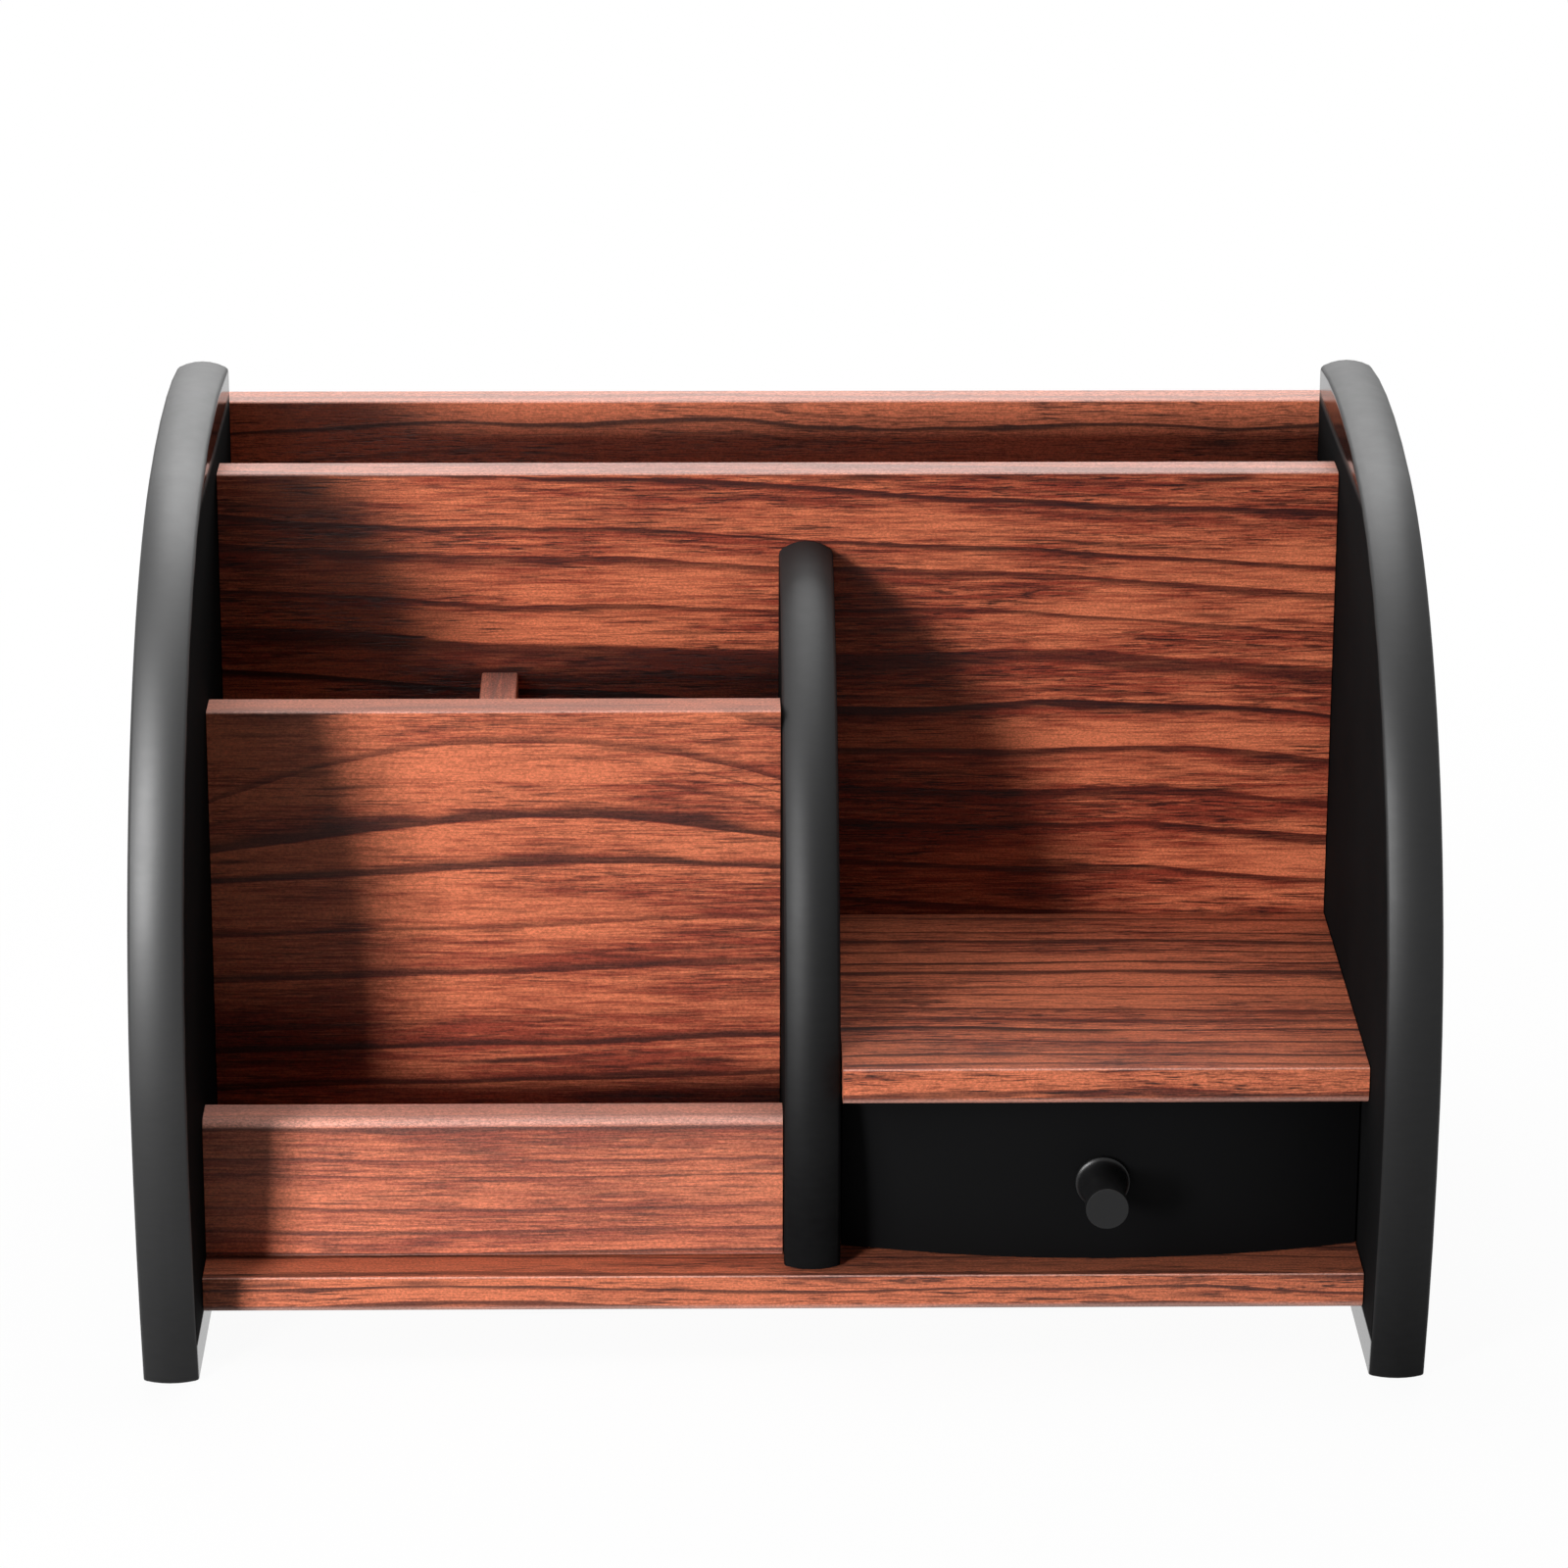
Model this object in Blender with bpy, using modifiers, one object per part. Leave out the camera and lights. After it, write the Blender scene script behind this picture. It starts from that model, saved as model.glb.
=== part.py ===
"""A pen holder with a drawer: boards between two crowned side panels, and a drawer that slides.

Lengths are in metres. +X is the right-hand side seen from the front, +Y points to the back
and +Z up. The origin is on the table, under the middle of the holder.
"""
import math

import bmesh
import bpy
from mathutils import Matrix, Vector

# Clearances
GLUE_GAP = 0.0003
CUT_OVERRUN = 0.004
MERGE_DISTANCE = 0.00001

# Widths, from left to right
SIDE_THICKNESS = 0.013
TRAY_BAY_WIDTH = 0.1371
DIVIDER_THICKNESS = 0.0133
DRAWER_BAY_WIDTH = 0.1236
PARTITION_THICKNESS = 0.009

# Depths, from the front to the back
SIDE_REACH = 0.0253
LIP_SETBACK = 0.012
UPRIGHT_THICKNESS = 0.0105
TRAY_DEPTH = 0.0345
PEN_BAY_DEPTH = 0.041
FILE_SLOT_DEPTH = 0.040
SHELF_SETBACK = 0.0027

# Heights, from the table up
LEG_HEIGHT = 0.0103
FLAT_THICKNESS = 0.0094
LIP_HEIGHT = 0.035
DRAWER_BAY_HEIGHT = 0.0416
PARTITION_HEIGHT = 0.1145
PEN_PANEL_HEIGHT = 0.1212
FILE_PANEL_HEIGHT = 0.1652
BACK_PANEL_HEIGHT = 0.1697
SIDE_RISE = 0.0125

# Side panels: the outline's three arcs and the crown of its front and top edge
CREST_SETBACK = 0.0303
CREST_RADIUS = 0.244
BROW_RADIUS = 0.1278
TUCK_RADIUS = 0.2772
SIDE_CROWN = 0.0014
CREST_STEPS = 5
BROW_STEPS = 20
TUCK_STEPS = 4

# Centre divider
DIVIDER_RADIUS = 0.150
DIVIDER_SETBACK = 0.003
DIVIDER_TURN_HEIGHT = 0.005
DIVIDER_CROWN = 0.0019
DIVIDER_STEPS = 20

# Rounded edges
CROWN_EASE = 0.0008
CROWN_STEPS = 3
CROWN_EASE_STEPS = 2
BOARD_EASE = 0.0006
LIP_ROUND = 0.003
CHIN_ROUND = 0.003
EASE_STEPS = 3
SMOOTH_ANGLE = math.radians(35)
FRONTWARD_ANGLE = math.radians(270)

# Drawer
DRAWER_SIDE_GAP = 0.0005
DRAWER_RUN_GAP = 0.0003
DRAWER_TOP_GAP = 0.0008
DRAWER_REAR_GAP = 0.0005
DRAWER_RECESS = 0.0151
DRAWER_FRONT_THICKNESS = 0.009
BOW_RISE = 0.0088
BOW_STEPS = 20
FRONT_EASE = 0.0008
WALL_INSET = 0.0006
WALL_THICKNESS = 0.006
WALL_HEIGHT = 0.034
BOTTOM_THICKNESS = 0.003
BOTTOM_RAISE = 0.0035
GROOVE_DEPTH = 0.003

# Knob
KNOB_RISE = 0.0198
KNOB_LENGTH = 0.0168
KNOB_BASE_RADIUS = 0.0065
KNOB_FLANGE = 0.0010
KNOB_WAIST_RADIUS = 0.0046
KNOB_WAIST_LENGTH = 0.0080
KNOB_FACE_RADIUS = 0.0051
KNOB_RIM = 0.0004
KNOB_SIDES = 32
KNOB_FLARE_STEPS = 4
KNOB_RIM_STEPS = 2

# Carcass screws, the caps that cover them, and dowels
SCREW_HEAD_RADIUS = 0.0029
SCREW_HEAD_DEPTH = 0.0020
SCREW_RADIUS = 0.0015
SCREW_LENGTH = 0.028
SCREW_TIP = 0.0025
SOCKET_RADIUS = 0.0014
SOCKET_DEPTH = 0.0013
SOCKET_SIDES = 6
SCREW_SIDES = 10
PLUG_RADIUS = 0.0036
PLUG_THICKNESS = 0.0018
PLUG_EASE = 0.0003
PLUG_SIDES = 16
DOWEL_RADIUS = 0.0025
DOWEL_LENGTH = 0.018
DOWEL_SINK = 0.005
DOWEL_CHAMFER = 0.0006
DOWEL_SIDES = 10

# Drawer fastenings
KNOB_SCREW_LENGTH = 0.025
DRAWER_DOWEL_RADIUS = 0.0014
DRAWER_DOWEL_LENGTH = 0.015
DRAWER_DOWEL_SINK = 0.006
DRAWER_DOWEL_CHAMFER = 0.0004
BRAD_RADIUS = 0.0006
BRAD_HEAD_RADIUS = 0.0011
BRAD_HEAD_DEPTH = 0.0004
BRAD_LENGTH = 0.014
BRAD_TIP = 0.001
BRAD_SIDES = 8

# Where fasteners sit, as shares of the board that they enter
BASE_FRONT_SHARE = 0.16
BASE_REAR_SHARE = 0.84
UPRIGHT_SCREW_SHARE = 0.8
UPRIGHT_DOWEL_SHARE = 0.3
LIP_SHARE = 0.5
SHELF_SCREW_SHARE = 0.25
SHELF_DOWEL_SHARE = 0.7
DIVIDER_FOOT_SHARE = 0.4
DIVIDER_REAR_SHARE = 0.6
BOARD_SCREW_SHARE = 0.5
PARTITION_SHARE = 0.5
PARTITION_REAR_SHARE = 0.6
BACK_HIGH_SHARE = 0.85
BACK_LOW_SHARE = 0.2
BACK_BASE_SHARE = 0.5
WALL_SHARE = 0.6

# Faces that the boards stand between
inner_width = TRAY_BAY_WIDTH + DIVIDER_THICKNESS + DRAWER_BAY_WIDTH
right_x = inner_width / 2
left_x = -right_x
divider_left = left_x + TRAY_BAY_WIDTH
divider_right = divider_left + DIVIDER_THICKNESS

board_depths = LIP_SETBACK + TRAY_DEPTH + PEN_BAY_DEPTH + FILE_SLOT_DEPTH + 4 * UPRIGHT_THICKNESS
back_y = (SIDE_REACH + board_depths) / 2
front_y = -back_y
base_front = front_y + SIDE_REACH
shelf_front = base_front + SHELF_SETBACK
lip_front = base_front + LIP_SETBACK
pen_front = lip_front + UPRIGHT_THICKNESS + TRAY_DEPTH
pen_back = pen_front + UPRIGHT_THICKNESS
file_front = pen_back + PEN_BAY_DEPTH
file_back = file_front + UPRIGHT_THICKNESS
back_panel_front = file_back + FILE_SLOT_DEPTH
side_rear = back_panel_front - GLUE_GAP
crest_y = side_rear - CREST_SETBACK

base_top = LEG_HEIGHT + FLAT_THICKNESS
shelf_bottom = base_top + DRAWER_BAY_HEIGHT
shelf_top = shelf_bottom + FLAT_THICKNESS
side_top = base_top + BACK_PANEL_HEIGHT + SIDE_RISE

# Faces of the drawer
drawer_left = divider_right + DRAWER_SIDE_GAP
drawer_right = right_x - DRAWER_SIDE_GAP
drawer_mid = (drawer_left + drawer_right) / 2
drawer_low = base_top + DRAWER_RUN_GAP
drawer_high = shelf_bottom - DRAWER_TOP_GAP
drawer_end_front = shelf_front + DRAWER_RECESS
drawer_front_back = drawer_end_front + DRAWER_FRONT_THICKNESS
drawer_rear = file_front - DRAWER_REAR_GAP
bow_front = drawer_end_front - BOW_RISE
knob_z = drawer_low + KNOB_RISE

# Colour, roughness and metallic value of each finish
BLACK_LACQUER = ((0.012, 0.012, 0.013), 0.35, 0.0)
ROSEWOOD = ((0.32, 0.10, 0.055), 0.45, 0.0)
PALE_WOOD = ((0.62, 0.45, 0.28), 0.60, 0.0)
ZINC = ((0.55, 0.55, 0.53), 0.35, 1.0)


def clear_scene():
    for old in list(bpy.data.objects):
        bpy.data.objects.remove(old, do_unlink=True)


def new_collection(name):
    collection = bpy.data.collections.new(name)
    bpy.context.scene.collection.children.link(collection)
    return collection


def give_finish(obj, finish):
    """Gives the object a material of its own in one of the finishes."""
    colour, roughness, metallic = finish
    material = bpy.data.materials.new(obj.name + "_finish")
    material.use_nodes = True
    shader = material.node_tree.nodes["Principled BSDF"]
    shader.inputs["Base Color"].default_value = (*colour, 1.0)
    shader.inputs["Roughness"].default_value = roughness
    shader.inputs["Metallic"].default_value = metallic
    material.diffuse_color = (*colour, 1.0)
    obj.data.materials.append(material)


def add_piece(name, mesh, finish, place=(0, 0, 0)):
    mesh.name = name
    piece = bpy.data.objects.new(name, mesh)
    piece.location = place
    pieces.objects.link(piece)
    give_finish(piece, finish)
    return piece


def add_cutter(name, mesh, place=(0, 0, 0)):
    cutter = bpy.data.objects.new(name, mesh)
    cutter.location = place
    cutter.hide_render = True
    cutter.display_type = "WIRE"
    cutters.objects.link(cutter)
    return cutter


def cut(cutter, *boards):
    """Cuts one cutter's shape from each of the boards."""
    for piece in boards:
        hole = piece.modifiers.new(cutter.name, "BOOLEAN")
        hole.operation = "DIFFERENCE"
        hole.solver = "EXACT"
        hole.object = cutter


def along(low, high, share):
    return low + (high - low) * share


def arc(centre_a, centre_b, radius, start, end, steps):
    """Points of an arc, both ends included."""
    points = []
    for step in range(steps + 1):
        angle = along(start, end, step / steps)
        points.append((centre_a + radius * math.cos(angle), centre_b + radius * math.sin(angle)))
    return points


def box_mesh(name, low, high):
    """A box between two corners, centred on its own origin."""
    bm = bmesh.new()
    bmesh.ops.create_cube(bm, size=1.0)
    bmesh.ops.scale(bm, vec=Vector(high) - Vector(low), verts=bm.verts)
    mesh = bpy.data.meshes.new(name)
    bm.to_mesh(mesh)
    bm.free()
    return mesh


def middle(low, high):
    return (Vector(low) + Vector(high)) / 2


def board(name, low, high, finish, nose=BOARD_EASE, chin=BOARD_EASE):
    """A board with eased long edges; nose and chin are the radii of its front edge's top and foot."""
    mesh = box_mesh(name, low, high)
    size = Vector(high) - Vector(low)
    length_axis = 0 if size.x > size.y else 1
    widest = max(BOARD_EASE, nose, chin)
    weights = mesh.attributes.new("bevel_weight_edge", "FLOAT", "EDGE")
    for edge in mesh.edges:
        start, end = (mesh.vertices[index].co for index in edge.vertices)
        if start[length_axis] == end[length_axis]:
            continue
        radius = BOARD_EASE
        if length_axis == 0 and start.y < 0:
            radius = nose if start.z > 0 else chin
        weights.data[edge.index].value = radius / widest
    piece = add_piece(name, mesh, finish, middle(low, high))
    ease = piece.modifiers.new("eased_edges", "BEVEL")
    ease.limit_method = "WEIGHT"
    ease.width = widest
    ease.segments = EASE_STEPS
    return piece


def crown_profile(half, crown):
    """Pairs of (across, inset) over a crowned edge, from face to face, its two corners eased."""
    flat_half = half - CROWN_EASE
    radius = (flat_half ** 2 + crown ** 2) / (2 * crown)
    tilt = math.asin(flat_half / radius)
    profile = []
    for step in range(CROWN_STEPS + 1):
        angle = tilt * step / CROWN_STEPS
        profile.append((radius * math.sin(angle), radius - radius * math.cos(angle)))
    corner = CROWN_EASE / (1 - math.sin(tilt))
    for step in range(1, CROWN_EASE_STEPS + 1):
        angle = along(tilt, math.pi / 2, step / CROWN_EASE_STEPS)
        across = flat_half + corner * (math.sin(angle) - math.sin(tilt))
        inset = crown + corner * (math.cos(tilt) - math.cos(angle))
        profile.append((across, inset))
    mirrored = [(-across, inset) for across, inset in reversed(profile[1:])]
    return mirrored + profile


def crowned_panel(name, outline, thickness, crown, centre_x):
    """A panel lofted through its outline at each inset of its crowned edge."""
    bm = bmesh.new()
    rings = []
    for across, inset in crown_profile(thickness / 2, crown):
        rings.append([bm.verts.new((across, y, z)) for y, z in outline(inset)])
    count = len(rings[0])
    for near, far in zip(rings, rings[1:]):
        for this in range(count):
            after = (this + 1) % count
            bm.faces.new((near[this], near[after], far[after], far[this]))
    bm.faces.new(rings[0])
    bm.faces.new(rings[-1])
    bmesh.ops.recalc_face_normals(bm, faces=bm.faces)
    mesh = bpy.data.meshes.new(name)
    bm.to_mesh(mesh)
    bm.free()
    mesh.shade_smooth()
    mesh.set_sharp_from_angle(angle=SMOOTH_ANGLE)
    return add_piece(name, mesh, BLACK_LACQUER, (centre_x, 0, 0))


def side_outline(inset):
    """A side panel from behind its foot, up the rear, over crest and brow and down to the foot."""
    crest = CREST_RADIUS - inset
    crest_z = side_top - CREST_RADIUS
    lean = math.asin((crest_y - front_y - BROW_RADIUS) / (CREST_RADIUS - BROW_RADIUS))
    turn_z = crest_z + (CREST_RADIUS - BROW_RADIUS) * math.cos(lean)
    joint = math.pi / 2 + lean
    rear_angle = math.acos((side_rear - crest_y) / crest)
    crest_arc = arc(crest_y, crest_z, crest, rear_angle, joint, CREST_STEPS)
    brow_arc = arc(front_y + BROW_RADIUS, turn_z, BROW_RADIUS - inset, joint, math.pi, BROW_STEPS)
    tuck = TUCK_RADIUS - inset
    foot_angle = math.pi + math.asin(turn_z / tuck)
    tuck_arc = arc(front_y + TUCK_RADIUS, turn_z, tuck, math.pi, foot_angle, TUCK_STEPS)
    return [(side_rear, 0)] + crest_arc + brow_arc[1:] + tuck_arc[1:]


def divider_outline(inset):
    """The divider from behind its foot, up the file panel and down its curved front."""
    radius = DIVIDER_RADIUS - inset
    centre_y = base_front + DIVIDER_SETBACK + DIVIDER_RADIUS
    centre_z = base_top + DIVIDER_TURN_HEIGHT
    rear_y = file_front - GLUE_GAP
    low_z = base_top + GLUE_GAP
    rear_angle = math.acos((rear_y - centre_y) / radius)
    foot_angle = math.pi + math.asin((centre_z - low_z) / radius)
    front_arc = arc(centre_y, centre_z, radius, rear_angle, foot_angle, DIVIDER_STEPS)
    return [(rear_y, low_z)] + front_arc


def divider_rear_height():
    centre_y = base_front + DIVIDER_SETBACK + DIVIDER_RADIUS
    reach = centre_y - file_front
    return DIVIDER_TURN_HEIGHT + math.sqrt(DIVIDER_RADIUS ** 2 - reach ** 2)


def turned(name, profile, sides, collection):
    """An object turned about its own Z axis from a profile that runs from top to bottom."""
    mesh = bpy.data.meshes.new(name)
    points = [(radius, 0, height) for radius, height in profile]
    mesh.from_pydata(points, [(i, i + 1) for i in range(len(points) - 1)], [])
    obj = bpy.data.objects.new(name, mesh)
    collection.objects.link(obj)
    lathe = obj.modifiers.new("lathe", "SCREW")
    lathe.axis = "Z"
    lathe.angle = 2 * math.pi
    lathe.steps = sides
    lathe.render_steps = sides
    lathe.use_merge_vertices = True
    lathe.merge_threshold = MERGE_DISTANCE
    return obj


def taken_mesh(obj):
    """The object's evaluated mesh, kept while the object itself is removed."""
    graph = bpy.context.evaluated_depsgraph_get()
    mesh = bpy.data.meshes.new_from_object(obj.evaluated_get(graph))
    bpy.data.objects.remove(obj, do_unlink=True)
    return mesh


def seat(point, outward):
    """The place of a fastener whose own Z axis points outward from its seat."""
    turn = Vector(outward).to_track_quat("Z", "Y").to_matrix().to_4x4()
    return Matrix.Translation(point) @ turn


def repeated(name, unit, places):
    """One mesh with a copy of the unit at each place."""
    bm = bmesh.new()
    for place in places:
        before = len(bm.verts)
        bm.from_mesh(unit)
        bm.verts.ensure_lookup_table()
        bmesh.ops.transform(bm, matrix=place, verts=bm.verts[before:])
    mesh = bpy.data.meshes.new(name)
    bm.to_mesh(mesh)
    bm.free()
    mesh.shade_smooth()
    mesh.set_sharp_from_angle(angle=SMOOTH_ANGLE)
    return mesh


def fasteners(profile, hole, sides, places, finish, boards, socket_top=None):
    """Equal fasteners at their named places, and their holes in the boards that they join."""
    kind = next(iter(places))
    unit = turned(kind + "_unit", profile, sides, pieces)
    if socket_top is not None:
        cut(socket_cutter(kind + "_socket", socket_top), unit)
    mesh = taken_mesh(unit)
    drill = taken_mesh(turned(kind + "_drill", hole, sides, cutters))
    cut(add_cutter(kind + "_holes", repeated(kind + "_holes", drill, places.values())), *boards)
    return copies(mesh, places, finish)


def copies(mesh, places, finish):
    """One object for each named place, all with the same mesh and finish."""
    mesh.shade_smooth()
    mesh.set_sharp_from_angle(angle=SMOOTH_ANGLE)
    made = {}
    for name, place in places.items():
        made[name] = bpy.data.objects.new(name, mesh)
        made[name].matrix_world = place
        pieces.objects.link(made[name])
    give_finish(made[next(iter(places))], finish)
    return made


def socket_cutter(name, top):
    bm = bmesh.new()
    bmesh.ops.create_cone(
        bm,
        cap_ends=True,
        segments=SOCKET_SIDES,
        radius1=SOCKET_RADIUS,
        radius2=SOCKET_RADIUS,
        depth=2 * SOCKET_DEPTH,
    )
    mesh = bpy.data.meshes.new(name)
    bm.to_mesh(mesh)
    bm.free()
    return add_cutter(name, mesh, (0, 0, top))


def screw_profile(top, length):
    """A countersunk screw below its seat, from the middle of its head to its tip."""
    return [
        (0, top),
        (SCREW_HEAD_RADIUS, top),
        (SCREW_RADIUS, top - SCREW_HEAD_DEPTH),
        (SCREW_RADIUS, top - length + SCREW_TIP),
        (0, top - length),
    ]


def screw_hole(top, length):
    """The hole of a countersunk screw, open at its seat."""
    return [
        (0, CUT_OVERRUN),
        (SCREW_HEAD_RADIUS + GLUE_GAP, CUT_OVERRUN),
        (SCREW_HEAD_RADIUS + GLUE_GAP, top),
        (SCREW_RADIUS + GLUE_GAP, top - SCREW_HEAD_DEPTH),
        (SCREW_RADIUS + GLUE_GAP, top - length - GLUE_GAP),
        (0, top - length - GLUE_GAP),
    ]


def plugged_hole(top, length):
    """The hole of a screw under a cap: the cap's recess, then the countersink and the shank."""
    recess = -PLUG_THICKNESS - GLUE_GAP
    rim = [(0, CUT_OVERRUN), (PLUG_RADIUS + GLUE_GAP, CUT_OVERRUN), (PLUG_RADIUS + GLUE_GAP, recess)]
    below = screw_hole(top, length)[2:]
    return rim + [(SCREW_HEAD_RADIUS + GLUE_GAP, recess)] + below[1:]


def plug_profile():
    return [
        (0, 0),
        (PLUG_RADIUS - PLUG_EASE, 0),
        (PLUG_RADIUS, -PLUG_EASE),
        (PLUG_RADIUS, -PLUG_THICKNESS),
        (0, -PLUG_THICKNESS),
    ]


def dowel_profile(radius, length, sink, chamfer):
    """A dowel across a joint: it sinks into the panel outward of the joint, the rest lies inward."""
    foot = sink - length
    return [
        (0, sink),
        (radius - chamfer, sink),
        (radius, sink - chamfer),
        (radius, foot + chamfer),
        (radius - chamfer, foot),
        (0, foot),
    ]


def dowel_hole(radius, length, sink):
    top = sink + GLUE_GAP
    foot = sink - length - GLUE_GAP
    return [(0, top), (radius + GLUE_GAP, top), (radius + GLUE_GAP, foot), (0, foot)]


def make_carcass():
    """The two sides, the divider and the wood boards, by name."""
    upright_low = base_top + GLUE_GAP
    left_end = left_x + GLUE_GAP
    right_end = right_x - GLUE_GAP
    tray_right = divider_left - GLUE_GAP
    partition_mid = along(left_x, divider_left, PARTITION_SHARE)
    half_partition = PARTITION_THICKNESS / 2
    boards = {
        "left_side": crowned_panel(
            "left_side", side_outline, SIDE_THICKNESS, SIDE_CROWN, left_x - SIDE_THICKNESS / 2
        ),
        "right_side": crowned_panel(
            "right_side", side_outline, SIDE_THICKNESS, SIDE_CROWN, right_x + SIDE_THICKNESS / 2
        ),
        "centre_divider": crowned_panel(
            "centre_divider",
            divider_outline,
            DIVIDER_THICKNESS,
            DIVIDER_CROWN,
            (divider_left + divider_right) / 2,
        ),
    }
    extents = {
        "base_board": (
            (left_end, base_front, LEG_HEIGHT),
            (right_end, side_rear, base_top),
        ),
        "back_panel": (
            (left_x - SIDE_THICKNESS, back_panel_front, LEG_HEIGHT),
            (right_x + SIDE_THICKNESS, back_y, base_top + BACK_PANEL_HEIGHT),
        ),
        "file_panel": (
            (left_end, file_front, upright_low),
            (right_end, file_back, base_top + FILE_PANEL_HEIGHT),
        ),
        "pen_panel": (
            (left_end, pen_front, upright_low),
            (tray_right, pen_back, base_top + PEN_PANEL_HEIGHT),
        ),
        "pen_partition": (
            (partition_mid - half_partition, pen_back + GLUE_GAP, upright_low),
            (partition_mid + half_partition, file_front - GLUE_GAP, base_top + PARTITION_HEIGHT),
        ),
        "shelf": (
            (divider_right + GLUE_GAP, shelf_front, shelf_bottom),
            (right_end, file_front - GLUE_GAP, shelf_top),
        ),
    }
    chins = {"base_board": CHIN_ROUND, "shelf": CHIN_ROUND}
    for name, (low, high) in extents.items():
        boards[name] = board(name, low, high, ROSEWOOD, chin=chins.get(name, BOARD_EASE))
    boards["front_lip"] = board(
        "front_lip",
        (left_end, lip_front, upright_low),
        (tray_right, lip_front + UPRIGHT_THICKNESS, base_top + LIP_HEIGHT),
        ROSEWOOD,
        nose=LIP_ROUND,
    )
    return boards


def upright_spot(front, height, share):
    """A point (y, z) up the end of an upright board."""
    return (front + UPRIGHT_THICKNESS / 2, base_top + height * share)


def base_spot(share):
    return (along(base_front, side_rear, share), LEG_HEIGHT + FLAT_THICKNESS / 2)


def shelf_spot(share):
    return (along(shelf_front, file_front, share), (shelf_bottom + shelf_top) / 2)


def side_screw_spots():
    """Where the screws go through both sides, then through the left one and the right one alone."""
    both = {
        "base_front": base_spot(BASE_FRONT_SHARE),
        "base_rear": base_spot(BASE_REAR_SHARE),
        "file_panel": upright_spot(file_front, FILE_PANEL_HEIGHT, UPRIGHT_SCREW_SHARE),
    }
    left = {
        "pen_panel": upright_spot(pen_front, PEN_PANEL_HEIGHT, UPRIGHT_SCREW_SHARE),
        "front_lip": upright_spot(lip_front, LIP_HEIGHT, LIP_SHARE),
    }
    return {"left": {**both, **left}, "right": {**both, "shelf": shelf_spot(SHELF_SCREW_SHARE)}}


def side_dowel_spots():
    both = {"file_panel": upright_spot(file_front, FILE_PANEL_HEIGHT, UPRIGHT_DOWEL_SHARE)}
    left = {"pen_panel": upright_spot(pen_front, PEN_PANEL_HEIGHT, UPRIGHT_DOWEL_SHARE)}
    return {"left": {**both, **left}, "right": {**both, "shelf": shelf_spot(SHELF_DOWEL_SHARE)}}


def side_fastenings(boards):
    """Screws under caps, and dowels, that hold the boards between the two sides."""
    joined = {
        "left": ("left_side", "base_board", "file_panel", "pen_panel", "front_lip"),
        "right": ("right_side", "base_board", "file_panel", "shelf"),
    }
    screw_top = -PLUG_THICKNESS - GLUE_GAP
    for side, inner_x, outward in (("left", left_x, -1), ("right", right_x, 1)):
        direction = (outward, 0, 0)
        outer_x = inner_x + outward * SIDE_THICKNESS
        cut_boards = [boards[name] for name in joined[side]]
        screws = {}
        caps = {}
        for spot, (y, z) in side_screw_spots()[side].items():
            screws[f"{side}_screw_{spot}"] = seat((outer_x, y, z), direction)
            caps[f"{side}_cap_{spot}"] = seat((outer_x, y, z), direction)
        dowels = {
            f"{side}_dowel_{spot}": seat((inner_x, y, z), direction)
            for spot, (y, z) in side_dowel_spots()[side].items()
        }
        fasteners(
            screw_profile(screw_top, SCREW_LENGTH),
            plugged_hole(screw_top, SCREW_LENGTH),
            SCREW_SIDES,
            screws,
            ZINC,
            cut_boards,
        )
        copies(taken_mesh(turned(side + "_cap", plug_profile(), PLUG_SIDES, pieces)), caps, BLACK_LACQUER)
        add_dowels(dowels, cut_boards)


def add_dowels(places, cut_boards):
    fasteners(
        dowel_profile(DOWEL_RADIUS, DOWEL_LENGTH, DOWEL_SINK, DOWEL_CHAMFER),
        dowel_hole(DOWEL_RADIUS, DOWEL_LENGTH, DOWEL_SINK),
        DOWEL_SIDES,
        places,
        PALE_WOOD,
        cut_boards,
    )


def divider_fastenings(boards):
    """Dowels that join the pen panel, the lip and the shelf to the divider."""
    pen_y, pen_z = upright_spot(pen_front, PEN_PANEL_HEIGHT, UPRIGHT_DOWEL_SHARE)
    lip_y, lip_z = upright_spot(lip_front, LIP_HEIGHT, LIP_SHARE)
    shelf_y, shelf_z = shelf_spot(SHELF_DOWEL_SHARE)
    places = {
        "divider_dowel_pen_panel": seat((divider_left, pen_y, pen_z), (1, 0, 0)),
        "divider_dowel_front_lip": seat((divider_left, lip_y, lip_z), (1, 0, 0)),
        "divider_dowel_shelf": seat((divider_right, shelf_y, shelf_z), (-1, 0, 0)),
    }
    names = ("centre_divider", "pen_panel", "front_lip", "shelf")
    add_dowels(places, [boards[name] for name in names])


def open_screws(places, cut_boards, length=SCREW_LENGTH):
    """Screws whose heads stay in sight, sunk just below their seat."""
    top = -GLUE_GAP
    profile = screw_profile(top, length)
    return fasteners(
        profile, screw_hole(top, length), SCREW_SIDES, places, ZINC, cut_boards, socket_top=top
    )


def base_fastenings(boards):
    """Screws from below the base board into what stands on it."""
    half = UPRIGHT_THICKNESS / 2
    tray_mid = along(left_x, divider_left, BOARD_SCREW_SHARE)
    screw_x = along(left_x, tray_mid, BOARD_SCREW_SHARE)
    partition_x = along(left_x, divider_left, PARTITION_SHARE)
    divider_x = (divider_left + divider_right) / 2
    spots = {
        "front_lip": (screw_x, lip_front + half),
        "pen_panel": (screw_x, pen_front + half),
        "pen_partition": (partition_x, (pen_back + file_front) / 2),
        "centre_divider": (divider_x, along(base_front, file_front, DIVIDER_FOOT_SHARE)),
    }
    places = {f"base_screw_{name}": seat((x, y, LEG_HEIGHT), (0, 0, -1)) for name, (x, y) in spots.items()}
    open_screws(places, [boards["base_board"]] + [boards[name] for name in spots])


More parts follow.
